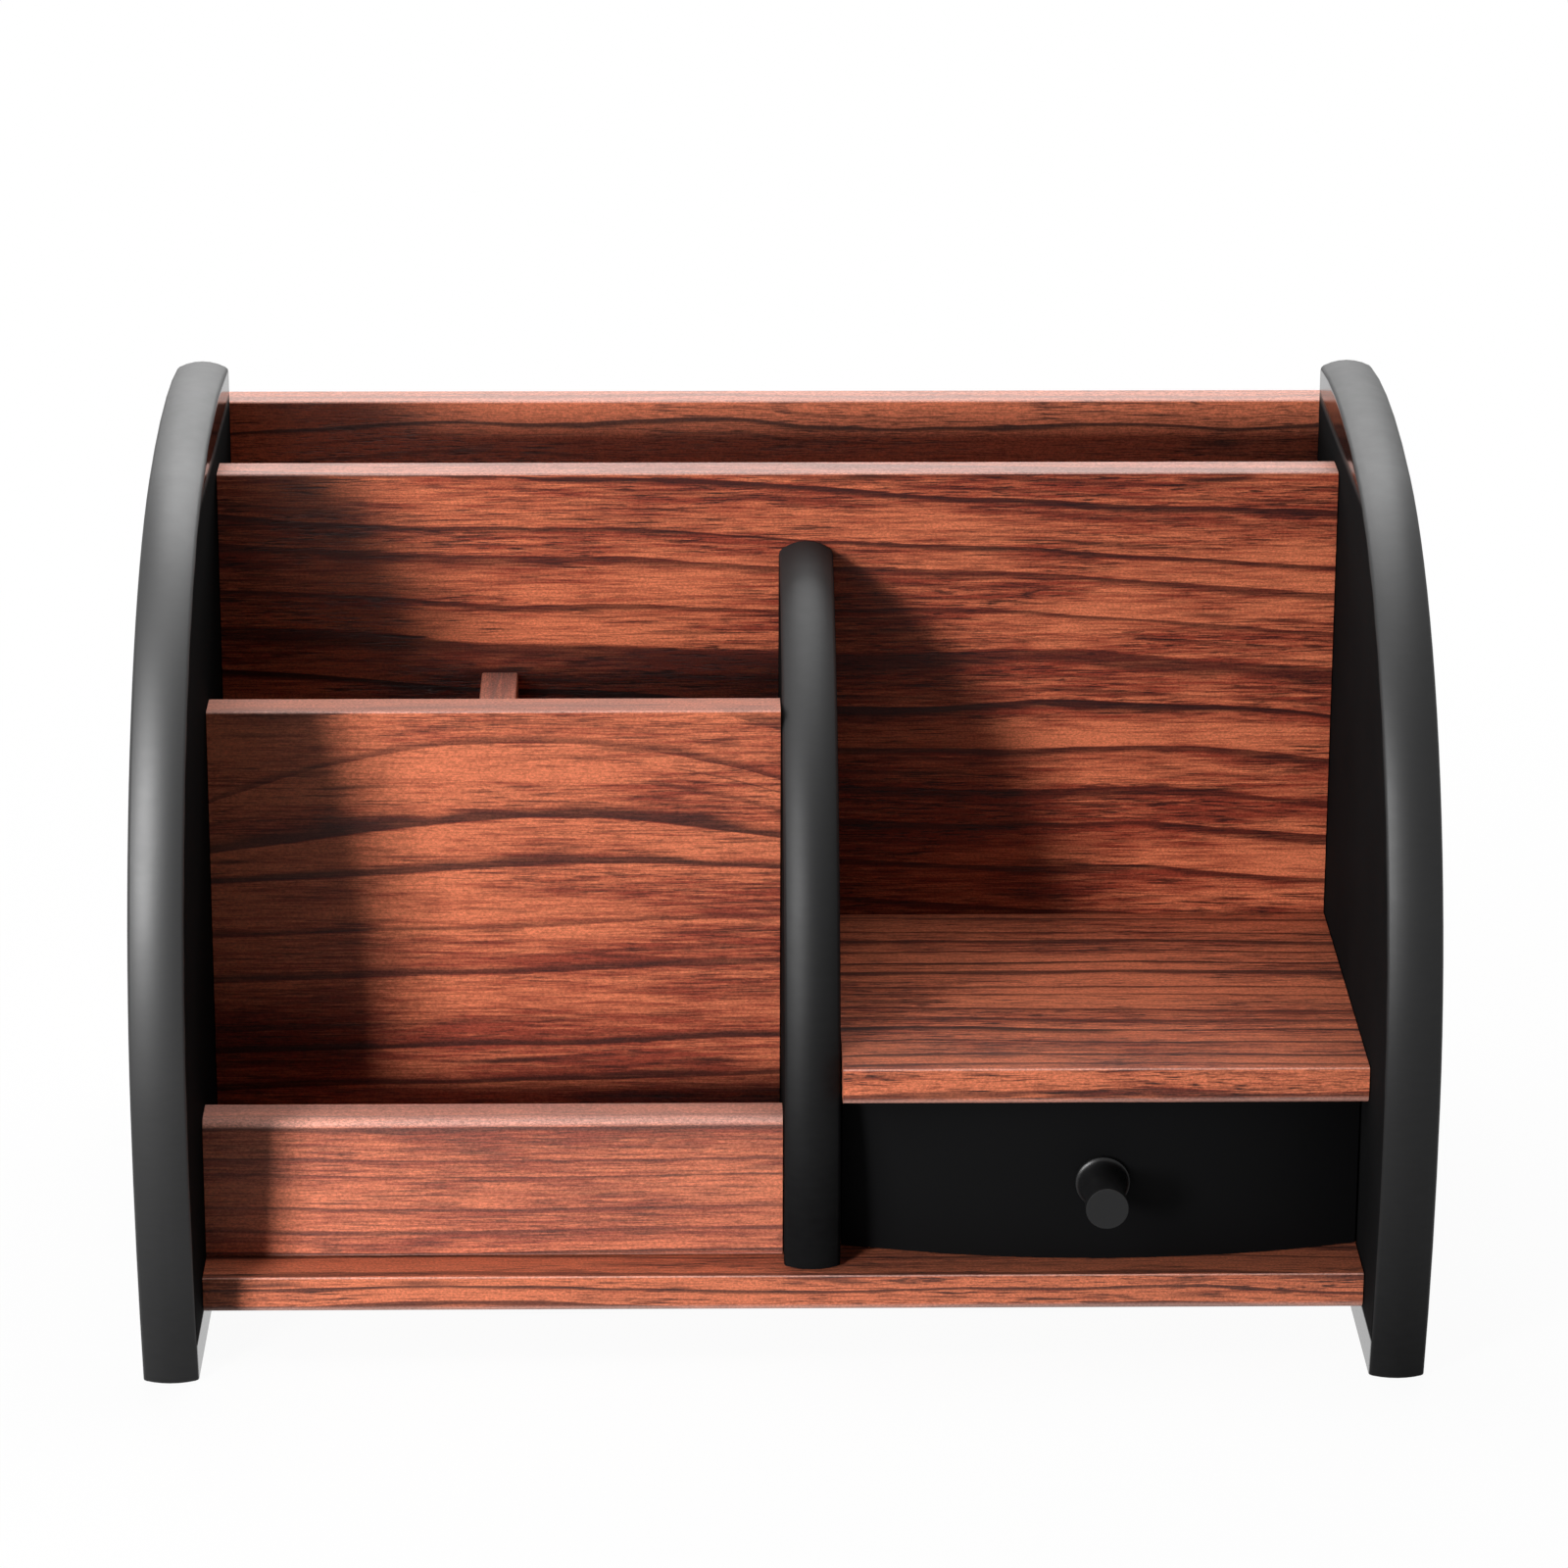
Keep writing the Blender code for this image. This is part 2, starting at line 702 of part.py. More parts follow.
def rear_fastenings(boards):
    """Screws through the file panel into the divider, the shelf and the partition."""
    divider_z = base_top + divider_rear_height() * DIVIDER_REAR_SHARE
    spots = {
        "centre_divider": ((divider_left + divider_right) / 2, divider_z),
        "shelf": ((divider_right + right_x) / 2, (shelf_bottom + shelf_top) / 2),
        "pen_partition": (
            along(left_x, divider_left, PARTITION_SHARE),
            base_top + PARTITION_HEIGHT * PARTITION_REAR_SHARE,
        ),
    }
    places = {f"rear_screw_{name}": seat((x, file_back, z), (0, 1, 0)) for name, (x, z) in spots.items()}
    open_screws(places, [boards["file_panel"]] + [boards[name] for name in spots])


def back_fastenings(boards):
    """Screws through the back panel into the rear edges of the sides and of the base board."""
    side_x = right_x + SIDE_THICKNESS / 2
    base_x = right_x * BACK_BASE_SHARE
    high_z = base_top + BACK_PANEL_HEIGHT * BACK_HIGH_SHARE
    low_z = base_top + BACK_PANEL_HEIGHT * BACK_LOW_SHARE
    base_z = LEG_HEIGHT + FLAT_THICKNESS / 2
    spots = {
        "left_high": (-side_x, high_z),
        "left_low": (-side_x, low_z),
        "right_high": (side_x, high_z),
        "right_low": (side_x, low_z),
        "base_left": (-base_x, base_z),
        "base_right": (base_x, base_z),
    }
    places = {f"back_screw_{name}": seat((x, back_y, z), (0, 1, 0)) for name, (x, z) in spots.items()}
    joined = ("back_panel", "left_side", "right_side", "base_board")
    open_screws(places, [boards[name] for name in joined])


def bowed_front():
    """The drawer's front: flat behind, bowed in front, extruded from its outline."""
    half_width = (drawer_right - drawer_left) / 2
    radius = (half_width ** 2 + BOW_RISE ** 2) / (2 * BOW_RISE)
    half_angle = math.asin(half_width / radius)
    start = FRONTWARD_ANGLE - half_angle
    end = FRONTWARD_ANGLE + half_angle
    bow = arc(0, bow_front + radius, radius, start, end, BOW_STEPS)
    outline = bow + [(half_width, drawer_front_back), (-half_width, drawer_front_back)]
    curve = bpy.data.curves.new("drawer_front", "CURVE")
    curve.dimensions = "2D"
    curve.fill_mode = "BOTH"
    curve.extrude = (drawer_high - drawer_low) / 2
    spline = curve.splines.new("POLY")
    spline.points.add(len(outline) - 1)
    for point, (x, y) in zip(spline.points, outline):
        point.co = (x, y, 0, 1)
    spline.use_cyclic_u = True
    shape = bpy.data.objects.new("drawer_front_outline", curve)
    pieces.objects.link(shape)
    mesh = taken_mesh(shape)
    bm = bmesh.new()
    bm.from_mesh(mesh)
    bmesh.ops.remove_doubles(bm, verts=bm.verts, dist=MERGE_DISTANCE)
    bmesh.ops.recalc_face_normals(bm, faces=bm.faces)
    bm.to_mesh(mesh)
    bm.free()
    mesh.shade_smooth()
    mesh.set_sharp_from_angle(angle=SMOOTH_ANGLE)
    front = add_piece("drawer_front", mesh, BLACK_LACQUER, (drawer_mid, 0, (drawer_low + drawer_high) / 2))
    ease = front.modifiers.new("eased_edges", "BEVEL")
    ease.limit_method = "ANGLE"
    ease.angle_limit = SMOOTH_ANGLE
    ease.width = FRONT_EASE
    ease.segments = EASE_STEPS
    return front


def make_drawer_box():
    """The drawer's walls and the thin bottom let into their grooves, by name."""
    wall_front = drawer_front_back + GLUE_GAP
    wall_high = drawer_low + WALL_HEIGHT
    left_out = drawer_left + WALL_INSET
    left_in = left_out + WALL_THICKNESS
    right_out = drawer_right - WALL_INSET
    right_in = right_out - WALL_THICKNESS
    back_front = drawer_rear - WALL_THICKNESS
    bottom_low = drawer_low + BOTTOM_RAISE
    tongue = GROOVE_DEPTH - GLUE_GAP
    bottom = (
        (left_in - tongue, drawer_front_back - tongue, bottom_low),
        (right_in + tongue, back_front + tongue, bottom_low + BOTTOM_THICKNESS),
    )
    walls = {
        "drawer_left_wall": ((left_out, wall_front, drawer_low), (left_in, drawer_rear, wall_high)),
        "drawer_right_wall": ((right_in, wall_front, drawer_low), (right_out, drawer_rear, wall_high)),
        "drawer_back_wall": (
            (left_in + GLUE_GAP, back_front, drawer_low),
            (right_in - GLUE_GAP, drawer_rear, wall_high),
        ),
    }
    drawer = {"drawer_front": bowed_front()}
    for name, (low, high) in walls.items():
        drawer[name] = board(name, low, high, PALE_WOOD)
    margin = Vector((GLUE_GAP, GLUE_GAP, GLUE_GAP))
    groove_low = Vector(bottom[0]) - margin
    groove_high = Vector(bottom[1]) + margin
    groove = add_cutter(
        "bottom_groove",
        box_mesh("bottom_groove", groove_low, groove_high),
        middle(groove_low, groove_high),
    )
    cut(groove, *drawer.values())
    panel = box_mesh("drawer_bottom", *bottom)
    drawer["drawer_bottom"] = add_piece("drawer_bottom", panel, PALE_WOOD, middle(*bottom))
    return drawer


def knob_profile():
    """From the middle of the knob's face over its rim, along the waist to the flange on the drawer."""
    profile = [(0, KNOB_LENGTH)]
    profile += rounded_corner(KNOB_FACE_RADIUS, KNOB_LENGTH)
    profile.append((KNOB_WAIST_RADIUS, KNOB_WAIST_LENGTH))
    for step in range(1, KNOB_FLARE_STEPS + 1):
        angle = math.pi / 2 * step / KNOB_FLARE_STEPS
        radius = along(KNOB_WAIST_RADIUS, KNOB_BASE_RADIUS - KNOB_RIM, 1 - math.cos(angle))
        height = along(KNOB_WAIST_LENGTH, KNOB_FLANGE, math.sin(angle))
        profile.append((radius, height))
    profile += rounded_corner(KNOB_BASE_RADIUS, KNOB_FLANGE)[1:]
    profile.append((KNOB_BASE_RADIUS, 0))
    profile.append((0, 0))
    return profile


def rounded_corner(radius, height):
    """Points over a rim's rounding, from its flat face to its outer side."""
    points = []
    for step in range(KNOB_RIM_STEPS + 1):
        angle = math.pi / 2 * step / KNOB_RIM_STEPS
        across = radius - KNOB_RIM + KNOB_RIM * math.sin(angle)
        along_axis = height - KNOB_RIM + KNOB_RIM * math.cos(angle)
        points.append((across, along_axis))
    return points


def make_knob(drawer):
    knob = turned("drawer_knob", knob_profile(), KNOB_SIDES, pieces)
    give_finish(knob, BLACK_LACQUER)
    knob.matrix_world = seat((drawer_mid, bow_front - GLUE_GAP, knob_z), (0, -1, 0))
    knob.data.shade_smooth()
    drawer["drawer_knob"] = knob
    place = seat((drawer_mid, drawer_front_back, knob_z), (0, 1, 0))
    drawer.update(open_screws({"knob_screw": place}, [drawer["drawer_front"], knob], KNOB_SCREW_LENGTH))


def drawer_fastenings(drawer):
    """Dowels from the side walls into the front, and brads through the side walls into the back."""
    left_out = drawer_left + WALL_INSET
    right_out = drawer_right - WALL_INSET
    half = WALL_THICKNESS / 2
    height = drawer_low + WALL_HEIGHT * WALL_SHARE
    drawer.update(
        fasteners(
            dowel_profile(DRAWER_DOWEL_RADIUS, DRAWER_DOWEL_LENGTH, DRAWER_DOWEL_SINK, DRAWER_DOWEL_CHAMFER),
            dowel_hole(DRAWER_DOWEL_RADIUS, DRAWER_DOWEL_LENGTH, DRAWER_DOWEL_SINK),
            DOWEL_SIDES,
            {
                "drawer_dowel_left": seat((left_out + half, drawer_front_back, height), (0, -1, 0)),
                "drawer_dowel_right": seat((right_out - half, drawer_front_back, height), (0, -1, 0)),
            },
            PALE_WOOD,
            [drawer["drawer_front"], drawer["drawer_left_wall"], drawer["drawer_right_wall"]],
        )
    )
    drawer.update(
        fasteners(
            brad_profile(),
            brad_hole(),
            BRAD_SIDES,
            {
                "drawer_brad_left": seat((left_out, drawer_rear - half, height), (-1, 0, 0)),
                "drawer_brad_right": seat((right_out, drawer_rear - half, height), (1, 0, 0)),
            },
            ZINC,
            [drawer["drawer_left_wall"], drawer["drawer_right_wall"], drawer["drawer_back_wall"]],
        )
    )


def brad_profile():
    top = -GLUE_GAP
    return [
        (0, top),
        (BRAD_HEAD_RADIUS, top),
        (BRAD_HEAD_RADIUS, top - BRAD_HEAD_DEPTH),
        (BRAD_RADIUS, top - BRAD_HEAD_DEPTH),
        (BRAD_RADIUS, top - BRAD_LENGTH + BRAD_TIP),
        (0, top - BRAD_LENGTH),
    ]


def brad_hole():
    head_foot = -BRAD_HEAD_DEPTH - 2 * GLUE_GAP
    foot = -BRAD_LENGTH - 2 * GLUE_GAP
    return [
        (0, CUT_OVERRUN),
        (BRAD_HEAD_RADIUS + GLUE_GAP, CUT_OVERRUN),
        (BRAD_HEAD_RADIUS + GLUE_GAP, head_foot),
        (BRAD_RADIUS + GLUE_GAP, head_foot),
        (BRAD_RADIUS + GLUE_GAP, foot),
        (0, foot),
    ]


def hang_on_slide(drawer):
    """Parents the drawer's pieces to an empty on the line along which the drawer slides."""
    slide = bpy.data.objects.new("drawer_slide", None)
    slide.location = (drawer_mid, drawer_end_front, (drawer_low + drawer_high) / 2)
    pieces.objects.link(slide)
    for piece in drawer.values():
        piece.parent = slide
        piece.matrix_parent_inverse = Matrix.Translation(-slide.location)


clear_scene()
pieces = new_collection("pen_holder")
cutters = new_collection("cutters")
carcass = make_carcass()
side_fastenings(carcass)
divider_fastenings(carcass)
base_fastenings(carcass)
rear_fastenings(carcass)
back_fastenings(carcass)
drawer_pieces = make_drawer_box()
make_knob(drawer_pieces)
drawer_fastenings(drawer_pieces)
hang_on_slide(drawer_pieces)
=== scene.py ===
# %% [markdown]
# # A desk organizer in rosewood and black lacquer
#
# This notebook dresses a finished construction model. The boards, the drawer and every screw
# come in as solids at their real size, and nothing here moves them. What is added is what the
# eye reads: the smooth shading of the curved edges, the lacquer, the wood, the metal, the light
# and the camera. All lengths are in metres, +Z is up and the front of the holder faces -Y.

import math

import bpy
from mathutils import Matrix, Vector

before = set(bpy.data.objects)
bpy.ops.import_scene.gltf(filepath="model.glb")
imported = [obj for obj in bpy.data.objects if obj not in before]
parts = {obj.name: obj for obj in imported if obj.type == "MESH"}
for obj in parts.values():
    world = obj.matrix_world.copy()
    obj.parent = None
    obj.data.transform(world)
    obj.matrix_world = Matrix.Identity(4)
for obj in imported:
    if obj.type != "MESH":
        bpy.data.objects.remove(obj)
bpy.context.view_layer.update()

# %% [markdown]
# ## Where the camera stands
#
# The picture was taken with a long lens from a little above the desk. A camera can be aimed with
# a Track To constraint, but here three angles say more: how far it looks down, how far it is
# turned, and a trace of roll. They are matrices multiplied in the order in which a tripod head
# is set.

# %% The camera
CAMERA_PLACE = Vector((-0.0241, -1.3599, 0.5828))
LOOK_DOWN = math.radians(18.89)
TURN = math.radians(-1.054)
ROLL = math.radians(0.19)
LENS_MM = 136.65
SENSOR_MM = 36
NEAREST = 0.05
FARTHEST = 50

camera_data = bpy.data.cameras.new("camera")
camera_data.lens = LENS_MM
camera_data.sensor_width = SENSOR_MM
camera_data.clip_start = NEAREST
camera_data.clip_end = FARTHEST
camera = bpy.data.objects.new("camera", camera_data)
bpy.context.scene.collection.objects.link(camera)
tilt = Matrix.Rotation(math.pi / 2 - LOOK_DOWN, 4, "X")
camera.matrix_world = (
    Matrix.Translation(CAMERA_PLACE)
    @ Matrix.Rotation(TURN, 4, "Z")
    @ tilt
    @ Matrix.Rotation(ROLL, 4, "Z")
)
bpy.context.scene.camera = camera
bpy.context.scene.view_settings.view_transform = "Standard"
print("camera", round(CAMERA_PLACE.length, 2), "m from the holder")

# %% [markdown]
# ## A few words for building materials
#
# A Blender material is a graph of nodes. Clicking graphs together is slow to read back, so four
# helpers do it in words: `add` makes a node with its settings, `wire` joins a value or another
# node's output to a socket, `maths` is one arithmetic step, and `new_finish` starts a material.
# Each material below is then a short list of such steps.

# %% Helpers for node graphs
def add(tree, kind, **settings):
    made = tree.nodes.new(kind)
    for name, value in settings.items():
        setattr(made, name, value)
    return made


def wire(tree, source, socket):
    if isinstance(source, bpy.types.NodeSocket):
        tree.links.new(source, socket)
    else:
        socket.default_value = source


def maths(tree, operation, first, second=0.0, clamp=False):
    made = add(tree, "ShaderNodeMath", operation=operation, use_clamp=clamp)
    wire(tree, first, made.inputs[0])
    wire(tree, second, made.inputs[1])
    return made.outputs[0]


def new_finish(name):
    material = bpy.data.materials.new(name)
    material.use_nodes = True
    return material, material.node_tree, material.node_tree.nodes["Principled BSDF"]


# %% [markdown]
# Noise is the raw material of every natural surface. `noise` reads it from coordinates that
# were stretched first: a grain streak is only round noise that was pulled out along the board.
# `remap` turns its middling values into a clear range, since noise seldom leaves the middle.

# %% Noise and ranges
MIDDLING = (0.3, 0.7)


def stretched(tree, point, lengths):
    """The coordinates divided by a feature's length along each axis."""
    scale = add(tree, "ShaderNodeVectorMath", operation="DIVIDE")
    wire(tree, point, scale.inputs[0])
    scale.inputs[1].default_value = lengths
    return scale.outputs[0]


def noise(tree, point, lengths, detail=2.0, roughness=0.5):
    made = add(tree, "ShaderNodeTexNoise")
    wire(tree, stretched(tree, point, lengths), made.inputs["Vector"])
    made.inputs["Scale"].default_value = 1.0
    made.inputs["Detail"].default_value = detail
    made.inputs["Roughness"].default_value = roughness
    return made.outputs["Fac"]


def remap(tree, value, from_low, from_high, to_low=0.0, to_high=1.0, smooth=False):
    made = add(tree, "ShaderNodeMapRange", clamp=True)
    made.interpolation_type = "SMOOTHSTEP" if smooth else "LINEAR"
    wire(tree, value, made.inputs["Value"])
    limits = (from_low, from_high, to_low, to_high)
    for name, limit in zip(("From Min", "From Max", "To Min", "To Max"), limits):
        made.inputs[name].default_value = limit
    return made.outputs["Result"]


# %% [markdown]
# The Mix node holds a hidden set of sockets for every data type, so asking for "A" by name would
# find the number socket first. The colour sockets are picked by their place instead.

# %% Colour mixing and relief
MIX_COLOUR_A = 6
MIX_COLOUR_B = 7
MIX_COLOUR_RESULT = 2


def mix(tree, share, first, second, mode="MIX"):
    made = add(tree, "ShaderNodeMix", data_type="RGBA", blend_type=mode)
    wire(tree, share, made.inputs[0])
    wire(tree, first, made.inputs[MIX_COLOUR_A])
    wire(tree, second, made.inputs[MIX_COLOUR_B])
    return made.outputs[MIX_COLOUR_RESULT]


def bump(tree, shader, height, depth, previous=None):
    """Relief of that depth in metres on a shader, over earlier relief if there is any."""
    made = add(tree, "ShaderNodeBump")
    made.inputs["Distance"].default_value = depth
    wire(tree, height, made.inputs["Height"])
    if previous is not None:
        wire(tree, previous, made.inputs["Normal"])
    wire(tree, made.outputs["Normal"], shader.inputs["Normal"])
    return made.outputs["Normal"]


# %% [markdown]
# ## Shading that follows the real curves
#
# The solids are faceted, as a workshop file is, with every triangle on its own. Shaded like
# that, the arched edge of a side panel would show its facets. Changing the mesh is not needed:
# a small geometry node group on the object merges the triangles' corners and shades the surface
# smoothly up to a set angle. A Weighted Normal modifier then keeps the wide flat faces flat, so
# that only the eased edges turn the light.

# %% Smooth shading as a modifier
CREASE = math.radians(32)
SAME_POINT = 0.000002
FLAT_WEIGHT = 50


def shading_group():
    group = bpy.data.node_groups.new("soft_shading", "GeometryNodeTree")
    group.interface.new_socket("Geometry", in_out="INPUT", socket_type="NodeSocketGeometry")
    group.interface.new_socket("Geometry", in_out="OUTPUT", socket_type="NodeSocketGeometry")
    entry = add(group, "NodeGroupInput")
    exit_ = add(group, "NodeGroupOutput")
    forget = add(group, "GeometryNodeRemoveAttribute")
    forget.inputs["Name"].default_value = "custom_normal"
    merge = add(group, "GeometryNodeMergeByDistance")
    merge.inputs["Distance"].default_value = SAME_POINT
    round_faces = add(group, "GeometryNodeSetShadeSmooth", domain="FACE")
    round_edges = add(group, "GeometryNodeSetShadeSmooth", domain="EDGE")
    angle = add(group, "GeometryNodeInputMeshEdgeAngle")
    gentle = add(group, "FunctionNodeCompare", data_type="FLOAT", operation="LESS_EQUAL")
    wire(group, angle.outputs["Unsigned Angle"], gentle.inputs[0])
    gentle.inputs[1].default_value = CREASE
    wire(group, entry.outputs[0], forget.inputs["Geometry"])
    wire(group, forget.outputs["Geometry"], merge.inputs["Geometry"])
    wire(group, merge.outputs["Geometry"], round_faces.inputs["Geometry"])
    wire(group, round_faces.outputs["Geometry"], round_edges.inputs["Geometry"])
    wire(group, gentle.outputs["Result"], round_edges.inputs["Shade Smooth"])
    wire(group, round_edges.outputs["Geometry"], exit_.inputs[0])
    return group


soft_shading = shading_group()
for part in parts.values():
    part.modifiers.new("soft_shading", "NODES").node_group = soft_shading
    flat = part.modifiers.new("keep_flats_flat", "WEIGHTED_NORMAL")
    flat.mode = "FACE_AREA"
    flat.weight = FLAT_WEIGHT
    flat.keep_sharp = True
print("shaded", len(parts), "pieces with a crease of", round(math.degrees(CREASE)), "degrees")

# %% [markdown]
# ## Black lacquer
#
# The sides, the divider, the drawer's front and its knob are sprayed satin black. Plain black
# looks like a hole in a picture. What makes it paint is that the gloss is not quite even, and
# that the coat has the slight waviness of a sprayed film, called orange peel.

# %% The sprayed film
CLOUD = (0.045, 0.045, 0.045)
WIPE = (0.004, 0.004, 0.0015)
PEEL = (0.0016, 0.0016, 0.0016)
GRIT = (0.0003, 0.0003, 0.0003)
PEEL_DEPTH = 0.000010
GRIT_DEPTH = 0.000002
SMOOTHER = 0.04
ROUGHER = 0.05
TINT_GAIN = 1.35


def grey_of(tree, value):
    joined = add(tree, "ShaderNodeCombineColor")
    for channel in ("Red", "Green", "Blue"):
        wire(tree, value, joined.inputs[channel])
    return joined.outputs[0]


def uneven(tree, point):
    """Slow clouds and fine wipe marks together, around one half."""
    cloud = noise(tree, point, CLOUD, detail=3)
    wipe = noise(tree, point, WIPE, detail=2)
    return maths(tree, "ADD", maths(tree, "MULTIPLY", cloud, 0.7), maths(tree, "MULTIPLY", wipe, 0.3))


def orange_peel(tree, point, shader):
    peel = noise(tree, point, PEEL, detail=1)
    grit = noise(tree, point, GRIT, detail=0)
    under = bump(tree, shader, peel, PEEL_DEPTH)
    bump(tree, shader, grit, GRIT_DEPTH, under)


def lacquer(name, colour, roughness, gloss):
    material, tree, shader = new_finish(name)
    point = add(tree, "ShaderNodeTexCoord").outputs["Object"]
    film = uneven(tree, point)
    rough = remap(tree, film, *MIDDLING, roughness - SMOOTHER, roughness + ROUGHER)
    wire(tree, rough, shader.inputs["Roughness"])
    tint = tuple(channel * TINT_GAIN for channel in colour)
    wire(tree, mix(tree, film, (*colour, 1), (*tint, 1)), shader.inputs["Base Color"])
    shader.inputs["Specular IOR Level"].default_value = gloss
    orange_peel(tree, point, shader)
    return material


# %% [markdown]
# The panels are not equally shiny all over. Their arched edges and outer faces carry a satin
# sheen, thinner towards the foot, where hands and cloths seldom come. The inner faces between the
# boards caught only dry spray and are dull. Only where an inner face stands free of the boards,
# at the top and on the legs, has it been polished by use. The inner faces are also darker than
# the satin: painted shade for the recesses between the boards, set per panel and darkest on the
# left side, whose inner face turns away from the key lamp.

# %% The lacquer of the panels
FREE_TOP = 0.190
FREE_FOOT = 0.0100
SIDEWAYS = (0.90, 0.985)
SATIN = (0.0076, 0.0076, 0.0079, 1)
SATIN_ROUGH = (0.48, 0.57)
DRY_SHEEN = 0.02
DRY_ROUGH = 0.90
POLISHED_SHEEN = 0.50
POLISHED_ROUGH = 0.20


def panel_lacquer(name, inward, sheen_top, sheen_foot, sheen_from, sheen_to, inner_shade):
    """Lacquer for a side panel, whose inner face has the sign inward, or for the divider, with 0."""
    material, tree, shader = new_finish(name)
    space = add(tree, "ShaderNodeTexCoord")
    film = uneven(tree, space.outputs["Object"])
    facing = add(tree, "ShaderNodeSeparateXYZ")
    wire(tree, space.outputs["Normal"], facing.inputs[0])
    place = add(tree, "ShaderNodeSeparateXYZ")
    wire(tree, space.outputs["Object"], place.inputs[0])
    height = place.outputs["Z"]
    if inward == 0:
        sideways = maths(tree, "ABSOLUTE", facing.outputs["X"])
    else:
        sideways = maths(tree, "MULTIPLY", facing.outputs["X"], inward)
    inner = remap(tree, sideways, *SIDEWAYS)
    free = maths(
        tree,
        "ADD",
        remap(tree, height, FREE_TOP - 0.001, FREE_TOP + 0.003, smooth=True),
        remap(tree, height, FREE_FOOT, FREE_FOOT - 0.001),
        clamp=True,
    )
    polished = maths(tree, "MULTIPLY", inner, free)
    edge_sheen = remap(tree, height, sheen_from, sheen_to, sheen_foot, sheen_top)
    sheen = add(tree, "ShaderNodeMix", data_type="FLOAT")
    wire(tree, inner, sheen.inputs[0])
    wire(tree, edge_sheen, sheen.inputs[2])
    wire(tree, remap(tree, polished, 0.0, 1.0, DRY_SHEEN, POLISHED_SHEEN), sheen.inputs[3])
    wire(tree, sheen.outputs[0], shader.inputs["Specular IOR Level"])
    dull = remap(tree, polished, 0.0, 1.0, DRY_ROUGH, POLISHED_ROUGH)
    rough = add(tree, "ShaderNodeMix", data_type="FLOAT")
    wire(tree, inner, rough.inputs[0])
    wire(tree, remap(tree, film, *MIDDLING, *SATIN_ROUGH), rough.inputs[2])
    wire(tree, dull, rough.inputs[3])
    wire(tree, rough.outputs[0], shader.inputs["Roughness"])
    # Inner faces take the panel's own darker colour: painted shade.
    colour = mix(tree, inner, SATIN, (inner_shade, inner_shade, inner_shade * 1.05, 1))
    cloudy = grey_of(tree, remap(tree, film, *MIDDLING, 1.3, 0.7))
    wire(tree, mix(tree, 1.0, colour, cloudy, mode="MULTIPLY"), shader.inputs["Base Color"])
    orange_peel(tree, space.outputs["Object"], shader)
    return material


PANELS = {
    "left_side": dict(
        inward=1, sheen_top=0.42, sheen_foot=0.18, sheen_from=0.0, sheen_to=0.08, inner_shade=0.0012,
    ),
    "centre_divider": dict(
        inward=0, sheen_top=0.27, sheen_foot=0.0, sheen_from=0.03, sheen_to=0.145, inner_shade=0.003,
    ),
    "right_side": dict(
        inward=-1, sheen_top=0.30, sheen_foot=0.06, sheen_from=0.0, sheen_to=0.12, inner_shade=0.0038,
    ),
}
for name, look in PANELS.items():
    parts[name].material_slots[0].material = panel_lacquer("lacquer_" + name, **look)
LACQUERED = {
    # The drawer front is darker than the panels' satin: painted shade from the shelf above it.
    "drawer_front": ((0.0024, 0.0024, 0.0026), 0.62, 0.05),
    "drawer_knob": ((0.0045, 0.0045, 0.0048), 0.34, 0.26),
}
for name, (colour, roughness, gloss) in LACQUERED.items():
    parts[name].material_slots[0].material = lacquer("lacquer_" + name, colour, roughness, gloss)
cap_lacquer = lacquer("lacquer_caps", (0.010, 0.010, 0.0105), 0.48, 0.30)
for name, part in parts.items():
    if "_cap_" in name:
        part.material_slots[0].material = cap_lacquer
print("lacquered", len(PANELS) + len(LACQUERED), "pieces and their caps")

# %% [markdown]
# ## Rosewood
#
# The boards are faced with a printed rosewood pattern: an orange brown ground, dark veins that
# wander along the board, short pores, and the fine speckle of the print. A vein pattern is a
# height map read as contour lines. The height rises across the grain, slow noise bends it, and
# where it passes a whole number there is a vein.

# %% The wood's coordinates
GRAIN_ORDER = {
    "upright": ("X", "Z", "Y"),
    "flat": ("X", "Y", "Z"),
    "partition": ("Y", "Z", "X"),
}


def grain_space(tree, lie, centre):
    """Coordinates from the board's middle: X along the grain, Y across the face, Z through it."""
    from_middle = add(tree, "ShaderNodeVectorMath", operation="SUBTRACT")
    wire(tree, add(tree, "ShaderNodeTexCoord").outputs["Object"], from_middle.inputs[0])
    from_middle.inputs[1].default_value = centre
    apart = add(tree, "ShaderNodeSeparateXYZ")
    wire(tree, from_middle.outputs[0], apart.inputs[0])
    joined = add(tree, "ShaderNodeCombineXYZ")
    for socket, axis in zip(joined.inputs, GRAIN_ORDER[lie]):
        wire(tree, apart.outputs[axis], socket)
    return joined.outputs[0]


def middle_of(part):
    corners = [Vector(corner) for corner in part.bound_box]
    return sum(corners, Vector()) / len(corners)


def moved(tree, point, seed):
    """The same coordinates far off in the noise, so that no two boards are cut alike."""
    shift = add(tree, "ShaderNodeVectorMath", operation="ADD")
    wire(tree, point, shift.inputs[0])
    shift.inputs[1].default_value = (seed, seed * 0.7, seed * 0.4)
    return shift.outputs[0]


# %% The figure of the wood
BEND = (0.090, 0.050, 0.050)
RIPPLE = (0.022, 0.012, 0.012)
BEND_SHARE = 3
RIPPLE_SHARE = 0.45
DEPTH_SHARE = 4
BOW_REACH = (0.014, 0.036)
THROUGH_SHARE = 1.1
UNEQUAL_PACE = 0.83
UNEQUAL_SHARE = 0.8
VEIN_LENGTHS = (0.035, 0.010, 0.010)
VEIN_SWELL = (0.5, 1.6)
FAINTEST_VEIN = 0.55
VEIN_CONTRAST = 2.2
CRISP_SIDE = (0.975, 0.995)


